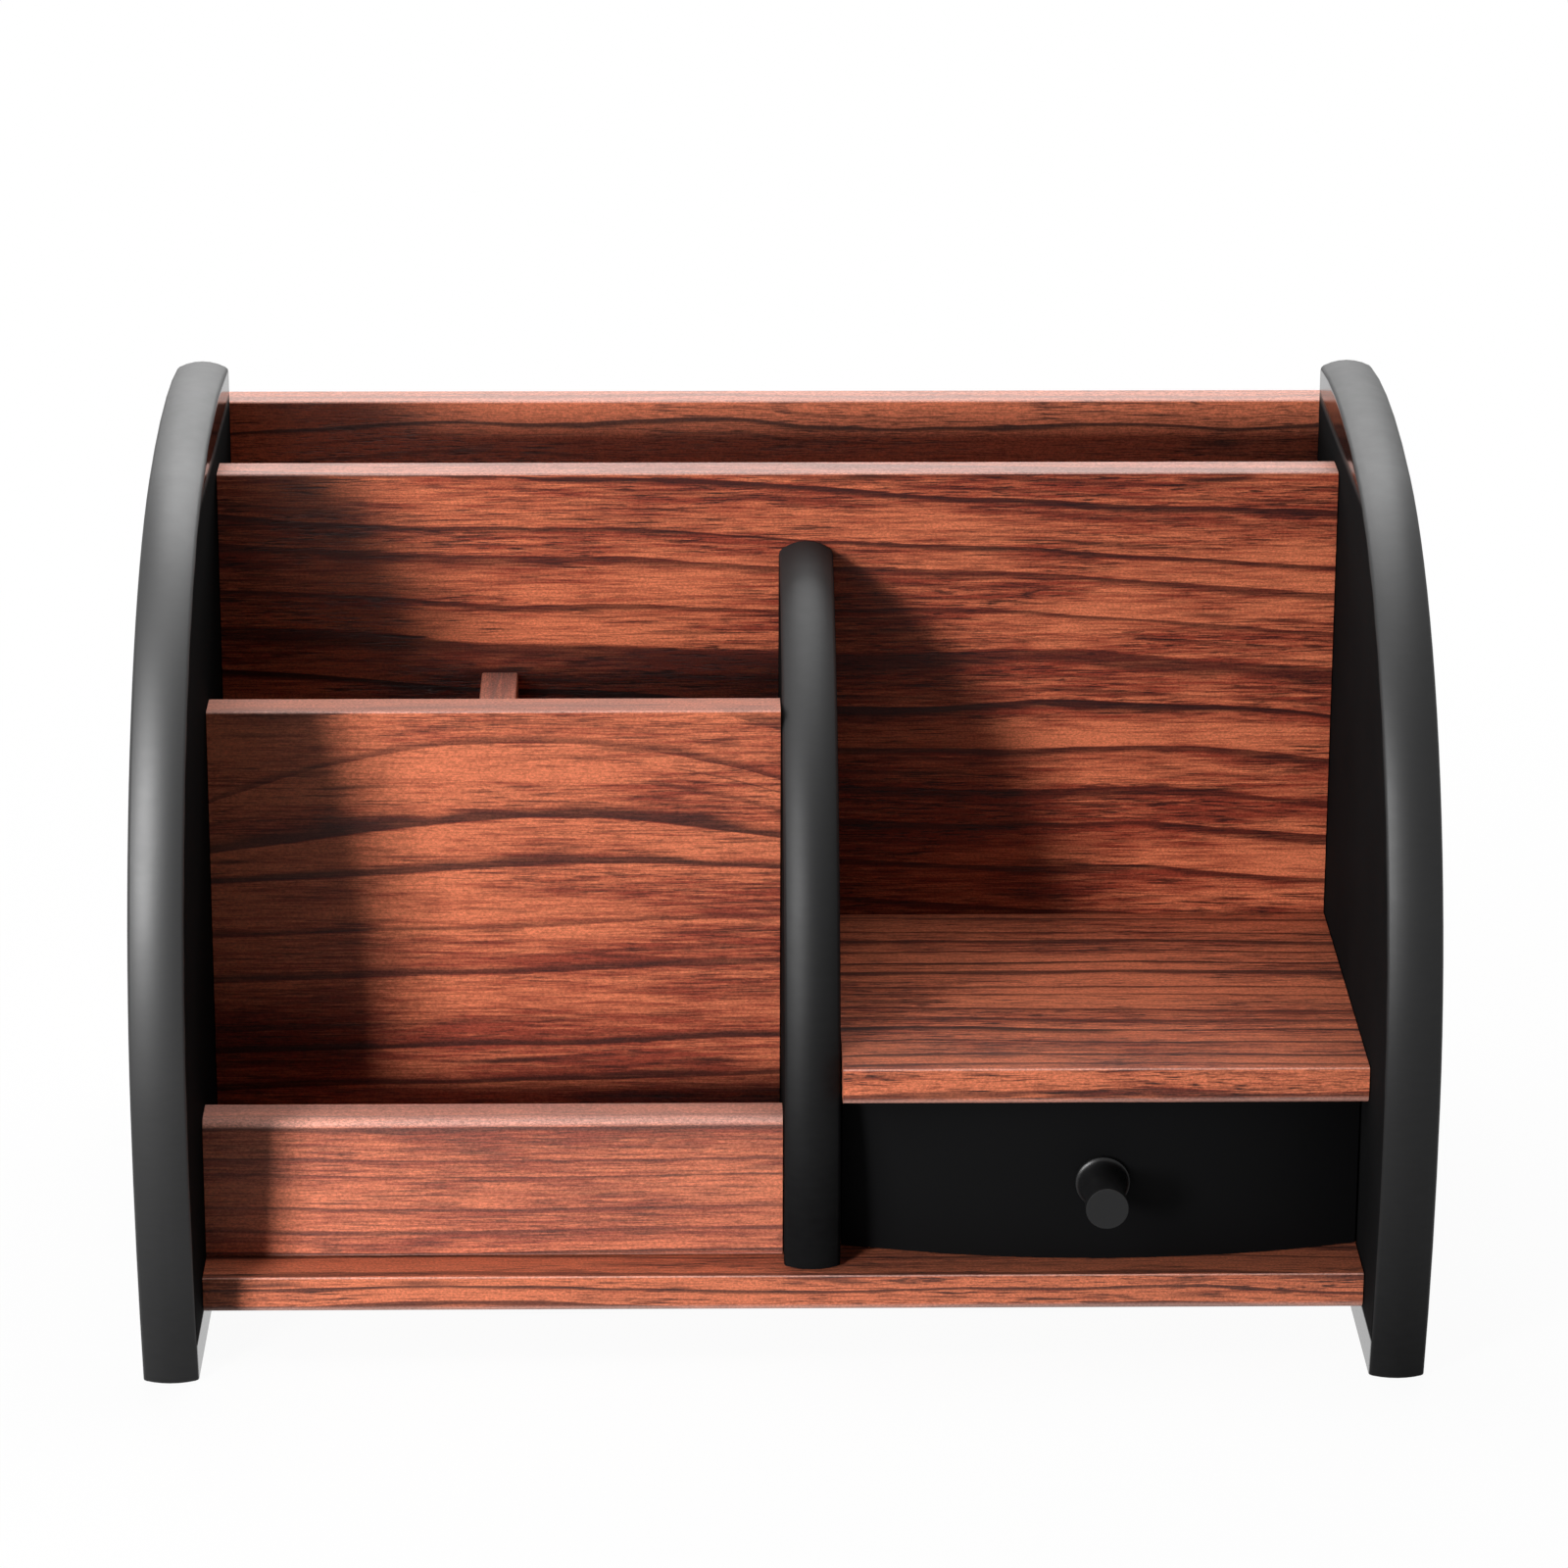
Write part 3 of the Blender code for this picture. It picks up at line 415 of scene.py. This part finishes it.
def rings(tree, centred, point, heart, depth, spacing, wander, slope, arch):
    """A count that grows by one from vein to vein, as if the board were sawn from a trunk."""
    apart = add(tree, "ShaderNodeSeparateXYZ")
    wire(tree, centred, apart.inputs[0])
    along, across, through = apart.outputs
    slow = maths(tree, "SUBTRACT", noise(tree, point, BEND, detail=1), 0.5)
    ripple = maths(tree, "SUBTRACT", noise(tree, point, RIPPLE, detail=2), 0.5)
    bent = maths(tree, "ADD", across, maths(tree, "MULTIPLY", slow, wander * BEND_SHARE))
    bent = maths(tree, "ADD", bent, maths(tree, "MULTIPLY", ripple, wander * RIPPLE_SHARE))
    bent = maths(tree, "ADD", bent, maths(tree, "MULTIPLY", along, slope))
    bow = maths(tree, "MULTIPLY", maths(tree, "MULTIPLY", along, along), arch)
    bow = maths(tree, "MULTIPLY", bow, remap(tree, across, *BOW_REACH))
    bent = maths(tree, "ADD", bent, bow)
    bent = maths(tree, "ADD", bent, maths(tree, "MULTIPLY", through, THROUGH_SHARE))
    section = add(tree, "ShaderNodeCombineXYZ")
    wire(tree, maths(tree, "SUBTRACT", bent, heart), section.inputs[0])
    wander_in = maths(tree, "MULTIPLY", slow, wander * DEPTH_SHARE)
    wire(tree, maths(tree, "ADD", wander_in, depth), section.inputs[1])
    radius = add(tree, "ShaderNodeVectorMath", operation="LENGTH")
    wire(tree, section.outputs[0], radius.inputs[0])
    count = maths(tree, "DIVIDE", radius.outputs["Value"], spacing)
    unequal = add(tree, "ShaderNodeTexNoise", noise_dimensions="1D")
    wire(tree, count, unequal.inputs["W"])
    unequal.inputs["Scale"].default_value = UNEQUAL_PACE
    unequal.inputs["Detail"].default_value = 0.0
    early = maths(tree, "MULTIPLY", unequal.outputs["Fac"], UNEQUAL_SHARE)
    return maths(tree, "ADD", count, early)


def veins(tree, point, count, width):
    """Dark lines at the whole numbers of a count: soft on one side, crisp on the other."""
    swell = remap(tree, noise(tree, point, VEIN_LENGTHS, detail=2), *MIDDLING, *VEIN_SWELL)
    ring = maths(tree, "FRACT", count)
    number = maths(tree, "FLOOR", count)
    chance = add(tree, "ShaderNodeTexWhiteNoise", noise_dimensions="1D")
    wire(tree, number, chance.inputs["W"])
    weight = remap(tree, chance.outputs["Value"], 0.0, 1.0, FAINTEST_VEIN, 1.0)
    before = maths(tree, "SUBTRACT", 1.0, ring)
    reach = maths(tree, "MULTIPLY", swell, width)
    line = maths(tree, "SUBTRACT", 1.0, maths(tree, "DIVIDE", before, reach), clamp=True)
    line = maths(tree, "MULTIPLY", line, VEIN_CONTRAST, clamp=True)
    crisp = remap(tree, ring, *CRISP_SIDE, 1.0, 0.0, smooth=True)
    return maths(tree, "MULTIPLY", maths(tree, "MULTIPLY", line, crisp), weight)


# %% [markdown]
# The ground between the veins is never plain. It is made of thousands of short dark dashes,
# denser in some stretches than in others, over a slow change from orange to red brown.

# %% The rosewood
GROUND_LIGHT = (0.61, 0.166, 0.078, 1)
GROUND_DEEP = (0.235, 0.038, 0.020, 1)
VEIN = (0.012, 0.0036, 0.0040, 1)
# The pale pink below is a painted sheen, laid on eased edges and tops for the light they catch.
PAINTED_SHEEN = (0.80, 0.45, 0.37, 1)
FINE_PORE = (0.0055, 0.00030, 0.00030)
LONG_PORE = (0.014, 0.00055, 0.00055)
PORE_FLOCK = (0.045, 0.009, 0.009)
ZONE = (0.060, 0.012, 0.012)
LENS = (0.032, 0.0032, 0.0032)
STREAK = (0.016, 0.0007, 0.0007)
SPECK = (0.00070, 0.00042, 0.00042)
ZONE_SHARE = 0.40
STREAK_SHARE = 0.55
LATE_SHARE = 0.09
DEEP_TONE = 0.590
LIGHT_TONE = 0.430
WOOD_GLOSS = 0.13
WOOD_ROUGH = (0.36, 0.48)
WOOD_RELIEF = 0.00003


def dashes(tree, point, zone):
    """Short dark pores, the finest everywhere, the longer ones in clusters."""
    fine = remap(tree, noise(tree, point, FINE_PORE, detail=2), 0.53, 0.63)
    fine = maths(tree, "MULTIPLY", fine, remap(tree, zone, 0.40, 0.60, 0.30, 0.88))
    long = remap(tree, noise(tree, point, LONG_PORE, detail=3, roughness=0.6), 0.54, 0.62)
    flock = remap(tree, noise(tree, point, PORE_FLOCK, detail=2), 0.46, 0.59)
    long = maths(tree, "MULTIPLY", maths(tree, "MULTIPLY", long, flock), 0.85)
    return maths(tree, "MAXIMUM", fine, long)


def painted_edge_sheen(tree, lie):
    """Painted sheen: how much eased front edges and tops of uprights are painted paler."""
    facing = add(tree, "ShaderNodeSeparateXYZ")
    wire(tree, add(tree, "ShaderNodeTexCoord").outputs["Normal"], facing.inputs[0])
    forward = maths(tree, "MULTIPLY", facing.outputs["Y"], -1.0)
    upright = maths(tree, "ABSOLUTE", facing.outputs["Z"])
    eased_sheen = remap(tree, maths(tree, "MINIMUM", forward, upright), 0.28, 0.58, 0.0, 0.50)
    if lie == "flat":
        return eased_sheen
    return maths(tree, "MAXIMUM", eased_sheen, remap(tree, facing.outputs["Z"], 0.50, 0.90, 0.0, 0.42))


def rosewood(name, part, lie, seed, heart, depth, spacing, wander, **options):
    material, tree, shader = new_finish(name)
    centred = grain_space(tree, lie, middle_of(part))
    point = moved(tree, centred, seed)
    slope = options.get("slope", 0.0)
    arch = options.get("arch", 0.0)
    width = options.get("width", 0.16)
    deep = options.get("deep", 0.0)
    count = rings(tree, centred, point, heart, depth, spacing, wander, slope, arch)
    main = maths(tree, "MULTIPLY", veins(tree, point, count, width), options.get("strength", 1.0))
    zone = noise(tree, point, ZONE, detail=2)
    thin = veins(tree, point, maths(tree, "MULTIPLY", count, 3.0), width * 1.5)
    thin = maths(tree, "MULTIPLY", thin, remap(tree, zone, 0.44, 0.60, 0.0, 0.60))
    lens = remap(tree, noise(tree, point, LENS, detail=1), 0.66, 0.80, 0.0, 0.85)
    streak = noise(tree, point, STREAK, detail=3, roughness=0.65)
    late = maths(tree, "POWER", maths(tree, "FRACT", count), 2.0)
    tone = maths(tree, "MULTIPLY", zone, ZONE_SHARE)
    tone = maths(tree, "ADD", tone, maths(tree, "MULTIPLY", streak, STREAK_SHARE))
    tone = maths(tree, "ADD", tone, maths(tree, "MULTIPLY", late, LATE_SHARE))
    # Darker towards the foot of an upright, lighter at its top: partly the wood's own figure, partly
    # painted shade from the boards in front.
    apart = add(tree, "ShaderNodeSeparateXYZ")
    wire(tree, centred, apart.inputs[0])
    foot_shade = maths(tree, "MULTIPLY", apart.outputs["Y"], options.get("foot_shade", 0.0))
    tone = maths(tree, "SUBTRACT", tone, foot_shade)
    ground = remap(tree, tone, DEEP_TONE - deep, LIGHT_TONE - deep)
    colour = mix(tree, ground, GROUND_DEEP, GROUND_LIGHT)
    dash = maths(tree, "MULTIPLY", dashes(tree, point, zone), options.get("pores", 1.0), clamp=True)
    colour = mix(tree, dash, colour, VEIN)
    dark = maths(tree, "MAXIMUM", maths(tree, "MAXIMUM", main, thin), lens)
    colour = mix(tree, maths(tree, "MULTIPLY", dark, 0.95), colour, VEIN)
    # Painted sheen: eased edges, tops of uprights and an even share over some boards go pale pink.
    sheen_share = maths(tree, "ADD", painted_edge_sheen(tree, lie), options.get("sheen_share", 0.0), clamp=True)
    colour = mix(tree, sheen_share, colour, PAINTED_SHEEN)
    speck = noise(tree, point, SPECK, detail=2, roughness=0.7)
    speck = remap(tree, speck, *MIDDLING, 0.66, 1.34)
    colour = mix(tree, 1.0, colour, grey_of(tree, speck), mode="MULTIPLY")
    wire(tree, colour, shader.inputs["Base Color"])
    shader.inputs["Specular IOR Level"].default_value = WOOD_GLOSS
    wire(tree, remap(tree, streak, *MIDDLING, *WOOD_ROUGH), shader.inputs["Roughness"])
    relief = maths(tree, "SUBTRACT", maths(tree, "MULTIPLY", streak, 0.4), dash)
    bump(tree, shader, relief, WOOD_RELIEF)
    return material


# The even share of pale colour that some boards get all over is painted sheen too.
BOARDS = {
    "base_board": dict(
        lie="flat", seed=0.3, heart=-0.30, depth=0.05, spacing=0.0070, wander=0.0022, width=0.24,
        deep=-0.08, pores=1.1, sheen_share=0.05,
    ),
    # Its ground is shifted lighter than the others: painted light for the strip above the file panel,
    # partly in that panel's shade.
    "back_panel": dict(
        lie="upright", seed=1.7, heart=-0.20, depth=0.05, spacing=0.011, wander=0.0035, deep=-0.17,
        sheen_share=0.04,
    ),
    "file_panel": dict(
        lie="upright", seed=0.6, heart=-0.244, depth=0.05, spacing=0.0105, wander=0.0030,
        slope=0.045, width=0.22, deep=0.03, foot_shade=0.40,
    ),
    "pen_panel": dict(
        lie="upright", seed=2.1, heart=0.064, depth=0.012, spacing=0.0140, wander=0.0026,
        slope=-0.040, arch=2.6, width=0.17, deep=0.02, foot_shade=1.1, pores=0.8, strength=0.9,
        sheen_share=0.02,
    ),
    "front_lip": dict(
        lie="upright", seed=3.3, heart=-0.25, depth=0.05, spacing=0.0062, wander=0.0012,
        strength=0.85, pores=0.8, sheen_share=0.10,
    ),
    "pen_partition": dict(
        lie="partition", seed=4.1, heart=-0.20, depth=0.05, spacing=0.009, wander=0.0030,
    ),
    "shelf": dict(
        lie="flat", seed=0.9, heart=-0.30, depth=0.05, spacing=0.0075, wander=0.0025, width=0.26,
        deep=-0.04, pores=1.2, sheen_share=0.03,
    ),
}
for name, look in BOARDS.items():
    parts[name].material_slots[0].material = rosewood("rosewood_" + name, parts[name], **look)
print("veneered", len(BOARDS), "boards")

# %% [markdown]
# ## The drawer box, the dowels and the screws
#
# Behind the black front is a plain box of pale wood, and the dowels are beech. Both use the
# same idea as the rosewood with a calmer figure. The screws are zinc plated steel.

# %% Pale wood
PALE_LIGHT = (0.68, 0.48, 0.29, 1)
PALE_DEEP = (0.47, 0.295, 0.155, 1)
PALE_BROAD = (0.12, 0.008, 0.008)
PALE_STREAK = (0.025, 0.0007, 0.0007)
PALE_ROUGH = (0.55, 0.68)
PALE_RELIEF = 0.00004


def pale_wood(name, lie, seed):
    material, tree, shader = new_finish(name)
    point = moved(tree, grain_space(tree, lie, (0, 0, 0)), seed)
    broad = noise(tree, point, PALE_BROAD, detail=3)
    streak = noise(tree, point, PALE_STREAK, detail=3, roughness=0.6)
    tone = maths(tree, "ADD", maths(tree, "MULTIPLY", broad, 0.5), maths(tree, "MULTIPLY", streak, 0.5))
    colour = mix(tree, remap(tree, tone, 0.35, 0.65), PALE_DEEP, PALE_LIGHT)
    wire(tree, colour, shader.inputs["Base Color"])
    wire(tree, remap(tree, streak, *MIDDLING, *PALE_ROUGH), shader.inputs["Roughness"])
    bump(tree, shader, streak, PALE_RELIEF)
    return material


PALE_PARTS = {
    "drawer_left_wall": "partition",
    "drawer_right_wall": "partition",
    "drawer_back_wall": "upright",
    "drawer_bottom": "flat",
}
for index, (name, lie) in enumerate(PALE_PARTS.items()):
    parts[name].material_slots[0].material = pale_wood("pale_" + name, lie, index * 0.7)
dowel_wood = pale_wood("pale_dowels", "upright", 5.0)
for name, part in parts.items():
    if "_dowel_" in name:
        part.material_slots[0].material = dowel_wood


# %% Zinc plated steel
ZINC_DULL = (0.50, 0.50, 0.48, 1)
ZINC_BRIGHT = (0.66, 0.66, 0.63, 1)
SPANGLE = (0.0012, 0.0012, 0.0012)
SPANGLE_ROUGH = (0.25, 0.42)
SPANGLE_RELIEF = 0.00002


def zinc(name):
    material, tree, shader = new_finish(name)
    point = add(tree, "ShaderNodeTexCoord").outputs["Object"]
    spangle = noise(tree, point, SPANGLE, detail=3)
    colour = mix(tree, remap(tree, spangle, 0.35, 0.65), ZINC_DULL, ZINC_BRIGHT)
    wire(tree, colour, shader.inputs["Base Color"])
    shader.inputs["Metallic"].default_value = 1.0
    wire(tree, remap(tree, spangle, *MIDDLING, *SPANGLE_ROUGH), shader.inputs["Roughness"])
    bump(tree, shader, spangle, SPANGLE_RELIEF)
    return material


steel = zinc("zinc_steel")
for name, part in parts.items():
    if "_screw_" in name or "_brad_" in name or name == "knob_screw":
        part.material_slots[0].material = steel

# %% [markdown]
# ## Floor and light
#
# The picture is a catalogue shot on a white sweep. A low key light from the front left lights the
# colours and throws the shadows between the boards. A box overhead and one behind fill them. Two
# more lamps only draw sheens: a tall window close to the left side, and a strip high behind. The
# floor is white by its own colour where the camera looks at it, so the lamps can stay gentle and
# the shadow stays.

# %% The floor
FLOOR_SIZE = 14.0
FLOOR_DROP = 0.0004
WHITE_NEAR = 0.95
NEAR_EDGE = 0.22
FAR_EDGE = 0.60
FLOOR_STRAY = (0.30, 0.30, 0.30, 1)
FLOOR_SEEN = (0.95, 0.95, 0.95, 1)
FLOOR_ROUGH = 0.9


def looked_at(tree):
    """One for rays that come from the camera or from a shiny surface, zero for stray light."""
    rays = add(tree, "ShaderNodeLightPath")
    seen = maths(tree, "ADD", rays.outputs["Is Camera Ray"], rays.outputs["Is Glossy Ray"], clamp=True)
    return maths(tree, "ADD", seen, rays.outputs["Is Transmission Ray"], clamp=True)


bpy.ops.mesh.primitive_plane_add(size=FLOOR_SIZE, location=(0, 0, -FLOOR_DROP))
floor = bpy.context.object
floor.name = "floor"
floor_finish, tree, shader = new_finish("white_sweep")
seen = looked_at(tree)
wire(tree, mix(tree, seen, FLOOR_STRAY, FLOOR_SEEN), shader.inputs["Base Color"])
shader.inputs["Roughness"].default_value = FLOOR_ROUGH
shader.inputs["Specular IOR Level"].default_value = 0.0
white = add(tree, "ShaderNodeEmission")
white.inputs["Strength"].default_value = 1.0
far = add(tree, "ShaderNodeVectorMath", operation="LENGTH")
wire(tree, add(tree, "ShaderNodeTexCoord").outputs["Object"], far.inputs[0])
own = remap(tree, far.outputs["Value"], NEAR_EDGE, FAR_EDGE, WHITE_NEAR, 1.0, smooth=True)
both = add(tree, "ShaderNodeMixShader")
wire(tree, maths(tree, "MULTIPLY", seen, own), both.inputs[0])
wire(tree, shader.outputs[0], both.inputs[1])
wire(tree, white.outputs[0], both.inputs[2])
wire(tree, both.outputs[0], tree.nodes["Material Output"].inputs["Surface"])
floor.data.materials.append(floor_finish)

# %% The sky
SKY_STRENGTH = 0.05

world = bpy.data.worlds.new("studio")
bpy.context.scene.world = world
world.use_nodes = True
tree = world.node_tree
sky = tree.nodes["Background"]
sky.inputs["Color"].default_value = (1, 1, 1, 1)
wire(tree, remap(tree, looked_at(tree), 0.0, 1.0, SKY_STRENGTH, 1.0), sky.inputs["Strength"])


# %% The lamps
def soft_box(name, azimuth, elevation, distance, width, height, watts, aim, lights="all"):
    """An area lamp that far from its aim; it lights colours, draws sheens, or does all of it."""
    data = bpy.data.lights.new(name, "AREA")
    data.shape = "RECTANGLE"
    data.size = width
    data.size_y = height
    data.energy = watts
    lamp = bpy.data.objects.new(name, data)
    bpy.context.scene.collection.objects.link(lamp)
    turn, rise = math.radians(azimuth), math.radians(elevation)
    away = Vector((math.sin(turn) * math.cos(rise), -math.cos(turn) * math.cos(rise), math.sin(rise)))
    lamp.location = Vector(aim) + away * distance
    lamp.rotation_mode = "QUATERNION"
    lamp.rotation_quaternion = away.to_track_quat("Z", "Y")
    lamp.visible_camera = False
    lamp.visible_diffuse = lights != "sheen"
    lamp.visible_glossy = lights != "colour"


HEART = (0, 0, 0.09)
LEFT_FRONT = (-0.150, -0.09, 0.11)
soft_box("key", -35, 6, 1.0, 0.20, 0.20, 11.0, HEART, lights="colour")
soft_box("overhead", 180, 76, 1.0, 0.80, 0.75, 7.6, HEART)
soft_box("back_box", 180, 30, 1.3, 1.40, 0.50, 6.6, HEART)
soft_box("left_window", -36, 36, 0.42, 0.26, 0.40, 8.5, LEFT_FRONT, lights="sheen")
soft_box("back_high", 180, 53, 1.2, 1.00, 0.26, 12.0, HEART, lights="sheen")
